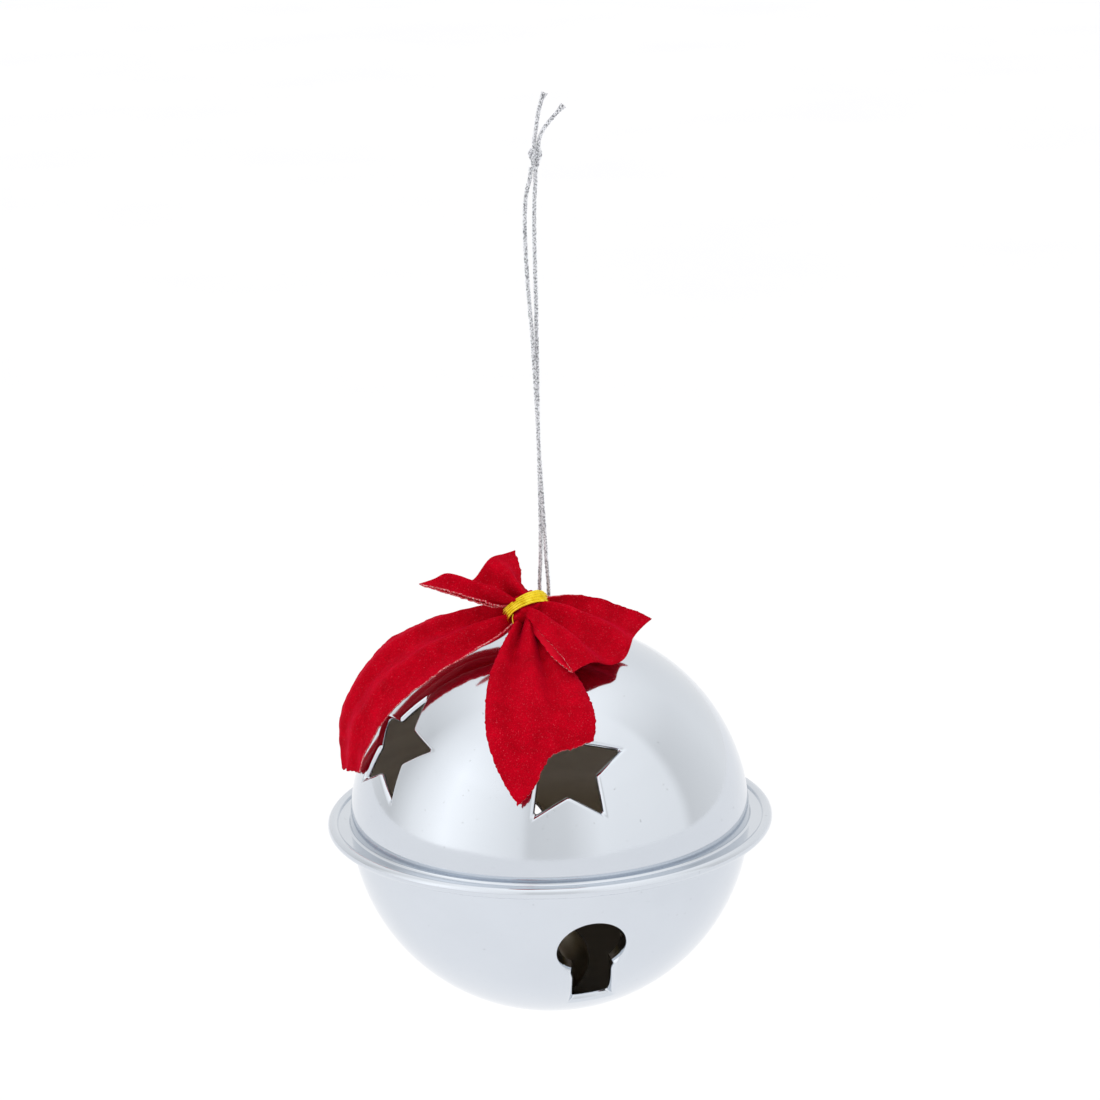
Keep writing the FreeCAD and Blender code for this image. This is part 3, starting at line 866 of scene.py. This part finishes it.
def ribbon_grid(stations, s, pleats, phase, seed):
    """Ribbon at shares s of its length, with its across, along and facing directions.

    A station is one edge, the other edge, the height of the pleats and that of the crown.
    """
    one, other, pleat_heights, crowns = zip(*stations)
    edge_a, edge_b = catmull(one, s), catmull(other, s)
    pleat, crown = catmull(np.transpose([pleat_heights, crowns]), s).T
    across = edge_b - edge_a
    even = np.linspace(0, 1, 200)
    path = np.gradient(catmull((np.array(one) + np.array(other)) / 2, even), axis=0)
    along = np.stack([np.interp(s, even, path[:, k]) for k in range(3)], 1)
    normal = unit(np.cross(across, along))
    u = np.linspace(0, 1, RIBBON_COLUMNS)
    wave = np.cos(2 * np.pi * (pleats * u + phase)) + 0.22 * np.cos(4 * np.pi * (pleats * u + phase) + 0.8)
    arch = 4 * u * (1 - u)
    height = pleat[:, None] * wave[None] + crown[:, None] * arch[None]
    grid = edge_a[:, None] + across[:, None] * u[None, :, None] + normal[:, None] * height[..., None]
    soft = uneven(grid.reshape(-1, 3), (0.16, seed, 0.45), (0.45, seed + 3, 0.16))
    fade = np.clip(s * 3, 0, 1)[:, None]
    grid = grid + normal[:, None] * (soft.reshape(len(s), RIBBON_COLUMNS) * fade)[..., None]
    return grid, unit(across), unit(along), normal


def ragged(grid, across, along, seed, end=True):
    """Cut edges: small irregular steps along both sides and across the free end."""
    grid = grid.copy()
    for column, inward in ((0, 1), (RIBBON_COLUMNS - 1, -1)):
        cut = uneven(grid[:, column], (1.3, seed + column, 0.28), (3.1, seed + column + 5, 0.14))
        for k, share in enumerate((1.0, 0.7, 0.35)):
            grid[:, column + inward * k] += across * (cut * share)[:, None]
    if end:
        cut = uneven(grid[-1], (1.1, seed + 11, 0.45), (3.3, seed + 17, 0.2))
        for k, share in enumerate((1.0, 0.75, 0.45, 0.2)):
            grid[-1 - k] += along[-1] * (cut * share)[:, None]
    return grid


def ribbon_piece(name, grid, node, turned=False):
    """Velvet on the side the grid's normal points to, or on the other when turned."""
    rows, columns, _ = grid.shape
    faces = grid_faces(rows, columns)
    if turned:
        faces = [f[::-1] for f in faces]
    obj = plain_mesh(name, grid.reshape(-1, 3), faces, [velvet, backing, satin_and_bounce], origin=RIM)
    thick = thicken(obj, RIBBON_THICK, 0.0)
    thick.material_offset_rim, thick.material_offset = 1, 2
    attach(obj, "hanger")
    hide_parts(node)


TAIL_LEFT_STATIONS = (
    (in_gather(-2.6, -0.8, 1.2), in_gather(-2.6, -0.8, -1.2), 1.0, 0.0),
    ((-9.8, -12.0, 45.9), (-9.6, -2.8, 50.2), 1.7, 0.6),
    ((-14.4, -13.4, 43.2), (-14.4, 2.0, 49.2), 1.4, 1.2),
    ((-22.4, -13.6, 38.8), (-27.2, 6.2, 45.0), 0.9, 1.6),
    ((-31.2, -13.6, 32.4), (-39.0, 6.6, 37.0), 0.6, 1.8),
    ((-38.0, -13.0, 24.4), (-46.6, 6.0, 23.6), 0.4, 1.6),
    ((-41.8, -12.6, 15.6), (-46.8, 7.0, 10.2), 0.3, 0.8),
)
TAIL_FRONT_STATIONS = (
    (in_gather(-2.4, -1.2, 1.1), in_gather(2.4, -1.2, 1.1), 1.0, 0.0),
    ((-7.8, -12.6, 46.6), (1.2, -12.0, 46.6), 1.4, -0.4),
    ((-10.4, -18.4, 43.2), (4.4, -18.2, 42.2), 1.1, -0.6),
    ((-12.8, -27.5, 38.5), (8.5, -27.4, 37.6), 0.8, -0.8),
    ((-13.0, -35.5, 31.0), (10.0, -33.0, 34.5), 0.6, -1.0),
    ((-10.5, -41.0, 24.0), (10.2, -35.4, 32.0), 0.35, -0.8),
    ((-6.8, -44.4, 18.2), (9.7, -37.5, 29.8), 0.2, -0.5),
)
LOOP_LEFT_STATIONS = (
    (in_gather(-2.4, 1.2, -1.1), in_gather(2.4, 1.2, -1.1), 1.0, 0.0),
    ((-11.2, -9.4, 52.4), (-4.6, -4.6, 56.2), 1.7, 0.0),
    ((-17.0, -9.6, 54.4), (-5.0, -1.4, 58.4), 1.3, 0.0),
    ((-27.2, -8.4, 57.4), (-6.2, 2.6, 61.6), 0.6, 0.0),
)
LOOP_RIGHT_STATIONS = (
    (in_gather(3.5, 0.4, 0.2), in_gather(-1.2, 0.9, 1.2), 0.9, 0.0),
    ((5.4, -5.0, 51.2), (-1.4, -15.4, 47.8), 1.6, 0.0),
    ((12.5, -4.2, 49.8), (2.0, -21.2, 45.3), 1.3, 0.0),
    ((23.2, -3.0, 46.0), (5.6, -26.4, 42.3), 0.5, 0.0),
)


def drawn(grid, growth, place, half, shift):
    """Part of the width, round a place across the ribbon, drawn aside by the growth at each row."""
    u = np.linspace(0, 1, RIBBON_COLUMNS)
    share = growth[:, None] * np.exp(-((u - place) / half) ** 2)[None]
    return grid + share[..., None] * np.array(shift)


def tail_piece(name, stations, node, phase, seed, pull=None, turned=False):
    s = np.linspace(0, 1, TAIL_ROWS)
    grid, across, along, _ = ribbon_grid(stations, s, TAIL_PLEATS, phase, seed)
    if pull:
        grid = drawn(grid, s**6, *pull)
    grid = ragged(grid, across, along, seed)
    ribbon_piece(name, grid, node, turned)


def loop_piece(name, stations, node, phase, seed, pull, gaps=(1.0, 2.2, 2.6, 1.2)):
    """The ribbon goes out to the fold and comes back under itself, a gap away."""
    s = np.sin(np.linspace(0, math.pi / 2, LOOP_ROWS))
    grid, across, along, normal = ribbon_grid(stations, s, LOOP_PLEATS, phase, seed)
    grid = drawn(grid, s**2, *pull)
    gap = catmull([[g] for g in gaps], s)[:, 0] * np.sqrt(np.clip(1 - s**8, 0, 1))
    front = grid + normal[:, None] * (gap / 2)[:, None, None]
    back = grid - normal[:, None] * (gap / 2)[:, None, None]
    whole = np.concatenate([front, back[-2::-1]])
    both = np.concatenate([across, across[-2::-1]])
    whole = ragged(whole, both, np.concatenate([along, along[-2::-1]]), seed, end=False)
    ribbon_piece(name, whole, node)


# a pull is (place across the width, half its width there, how far it is drawn)
tail_piece("ribbon_tail_left", TAIL_LEFT_STATIONS, "bow_tail_left", phase=0.15, seed=2)
tail_piece("ribbon_tail_front", TAIL_FRONT_STATIONS, "bow_tail_front", phase=0.4, seed=5,
           pull=(0.56, 0.26, (-1.6, 1.6, 2.5)), turned=True)
loop_piece("ribbon_loop_left", LOOP_LEFT_STATIONS, "bow_loop_left", phase=0.3, seed=8,
           pull=(0.50, 0.17, (0.6, -0.5, -3.2)), gaps=(0.8, 1.1, 1.1, 0.8))
loop_piece("ribbon_loop_right", LOOP_RIGHT_STATIONS, "bow_loop_right", phase=0.1, seed=13,
           pull=(0.55, 0.24, (3.0, -1.3, -2.4)))


def make_gather():
    """The pinched middle of the ribbon: pleats squeezed together under the band."""
    columns = 72
    sizes = ((-2.6, 0.25), (-2.5, 0.7), (-2.1, 0.98), (-1.5, 0.98), (-0.7, 0.9), (0.0, 0.88),
             (0.7, 0.9), (1.5, 0.98), (2.1, 0.98), (2.5, 0.7), (2.6, 0.25))
    t = np.linspace(0, 2 * np.pi, columns, endpoint=False)
    rows = []
    for shift, size in sizes:
        fold = size * (1 + 0.085 * np.cos(7 * t + 0.3 * shift) + 0.04 * np.cos(13 * t + 1.0))
        across, up = np.cos(t) * GATHER_RADII[0] * fold, np.sin(t) * GATHER_RADII[1] * fold
        rows.append(in_gather(across[:, None], up[:, None], shift))
    faces = tube_faces(len(rows), columns, 0)
    obj = plain_mesh("ribbon_middle", np.concatenate(rows), faces, [velvet], origin=RIM)
    sub = obj.modifiers.new("smooth", "SUBSURF")
    sub.levels = sub.render_levels = 1
    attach(obj, "hanger")
    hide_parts("bow_gather")


def make_band():
    """Foil strip round the pinched ribbon, creased lengthwise and pulled uneven."""
    columns, rows = 160, 36
    t = np.linspace(0, 2 * np.pi, columns, endpoint=False)
    points = []
    for v in np.arange(rows) / (rows - 1) * 2 - 1:
        shift = v * (BAND_HALF + 0.22 * np.sin(2 * t + 0.5)) + 0.25 * np.sin(t + 1.0)
        crease = 0.12 * math.cos(15 * v) + 0.04 * np.cos(3 * t + 4 * v) + 0.3 * (1 - v * v)
        base = (GATHER_CENTRE + GATHER_AXIS * shift[:, None]
                + np.cos(t)[:, None] * GATHER_WIDE * (BAND_RADII[0] + crease)[:, None]
                + np.sin(t)[:, None] * GATHER_TALL * (BAND_RADII[1] + crease)[:, None])
        bend = uneven(base, (0.7, 21, 0.10))
        points.extend(base + unit(base - GATHER_CENTRE) * bend[:, None])
    obj = plain_mesh("foil_band", points, grid_faces(rows, columns, closed=True), [foil], origin=RIM)
    thicken(obj, FOIL_THICK, 1.0)
    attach(obj, "hanger")
    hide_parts("bow_tie_band")


def make_tie_wire():
    """The tie's flat foil strip through the eye, and its twisted free end in front."""
    turn = [(-3.9, -5.0, 49.4), (-3.0, -2.6, 48.2), (0.0, -1.5, 47.6), (2.9, -2.6, 48.6),
            (2.6, -5.0, 51.0), (0.2, -6.4, 52.4)]
    end = [(-7.0, -9.8, 50.6), (-7.1, -10.4, 48.9), (-6.4, -10.9, 46.6)]
    half_thick, sides, step = 0.16, 10, 0.18
    t = np.linspace(0, 2 * np.pi, sides, endpoint=False)
    points, faces = [], []
    for route, half_wide in ((turn, 0.6), (end, 0.42)):
        line, along = evenly(spline_points(route) / MM, step)
        one, two = carried_frames(line)
        twist = 0.9 * along + 0.6 * np.sin(1.7 * along)
        taper = np.clip(np.minimum(along, along[-1] - along) / 0.4 + 0.35, 0, 1)
        a = np.cos(twist)[:, None] * one + np.sin(twist)[:, None] * two
        b = np.cos(twist)[:, None] * two - np.sin(twist)[:, None] * one
        oval = (np.cos(t)[None, :, None] * a[:, None] * half_wide
                + np.sin(t)[None, :, None] * b[:, None] * half_thick)
        grid = line[:, None] + oval * taper[:, None, None]
        faces += tube_faces(len(line), sides, len(points))
        points.extend(grid.reshape(-1, 3))
    obj = plain_mesh("foil_tie", points, faces, [foil], origin=RIM)
    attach(obj, "hanger")
    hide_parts("bow_tie_wire")


make_gather()
make_band()
make_tie_wire()

for node, material, slot in (("hanger_eye", wire_material(), "steel_wire"),
                             ("clapper_ball", ball_material(), "steel_ball")):
    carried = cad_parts[node]
    carried.data.materials.clear()
    carried.data.materials.append(material)
    carried.data.shade_smooth()


# ---------------------------------------------------------------- studio
def make_floor():
    half, drop = 9.0, 0.42
    height = cad_low.z - drop
    mesh = bpy.data.meshes.new("floor")
    mesh.from_pydata([(-half, -half, height), (half, -half, height), (half, half, height),
                      (-half, half, height)], [], [(0, 1, 2, 3)])
    s = Shader("pale_floor", Specular_IOR_Level=0.1, Roughness=0.9)
    s.colour(s.ramp(s.noise(3.0, 2.0), (0.3, (0.90, 0.90, 0.91)), (0.7, (0.92, 0.92, 0.93))))
    mesh.materials.append(s.mat)
    add_object("floor", mesh)


def soft_light(name, azimuth, elevation, distance, width, height, radiance):
    """Large lamp facing the bell, left out of the picture and of the reflections."""
    data = bpy.data.lights.new(name, "AREA")
    data.shape, data.size, data.size_y = "RECTANGLE", width, height
    data.energy = radiance * math.pi * width * height
    a, e = math.radians(azimuth), math.radians(elevation)
    away = Vector((math.cos(e) * math.sin(a), -math.cos(e) * math.cos(a), math.sin(e)))
    light = add_object(name, data)
    light.location = Vector((0, 0, RIM_Z * MM)) + away * distance
    light.rotation_mode = "QUATERNION"
    light.rotation_quaternion = away.to_track_quat("Z", "Y")
    light.visible_camera = False
    light.visible_glossy = False


def make_world():
    """Pale surroundings: softer bands round the sides, even and bright overhead."""
    world = bpy.data.worlds.new("studio")
    bpy.context.scene.world = world
    bpy.context.scene.view_settings.view_transform = "Standard"
    world.use_nodes = True
    tree = world.node_tree

    def maths(operation, *inputs):
        return add_node(tree, "ShaderNodeMath", enumerate(inputs), operation=operation).outputs[0]

    direction = add_node(tree, "ShaderNodeTexCoord").outputs["Generated"]
    x, y, z = add_node(tree, "ShaderNodeSeparateXYZ", {0: direction}).outputs
    height = maths("MULTIPLY_ADD", z, 0.5, 0.5)
    # share of a turn from behind, through the left at 0.25, the front at 0.5 and the right at 0.75
    turn = maths("ARCTAN2", x, maths("MULTIPLY", y, -1.0))
    azimuth = maths("MULTIPLY_ADD", turn, 0.5 / math.pi, 0.5)
    upward = add_ramp(tree, height, (0.50, 1.0), (0.75, 1.02), (0.90, 1.12), (1.0, 1.28))
    around = add_ramp(tree, azimuth, (0.0, 0.95), (0.13, 0.90), (0.21, 0.76), (0.26, 1.10), (0.325, 1.38),
                      (0.38, 1.22), (0.452, 1.04), (0.466, 0.85), (0.525, 0.88), (0.58, 1.12),
                      (0.725, 1.06), (0.745, 0.82), (0.79, 0.88), (0.86, 0.98), (1.0, 0.95))
    share = add_ramp(tree, height, (0.78, 1.0), (0.96, 0.0))  # the bands fade out towards the zenith
    back = tree.nodes["Background"]
    tree.links.new(add_mix(tree, share, upward, around, "MULTIPLY"), back.inputs[0])
    back.inputs[1].default_value = 1.0


make_floor()
make_world()
soft_light("key", azimuth=-42, elevation=38, distance=1.25, width=0.75, height=0.9, radiance=0.9)
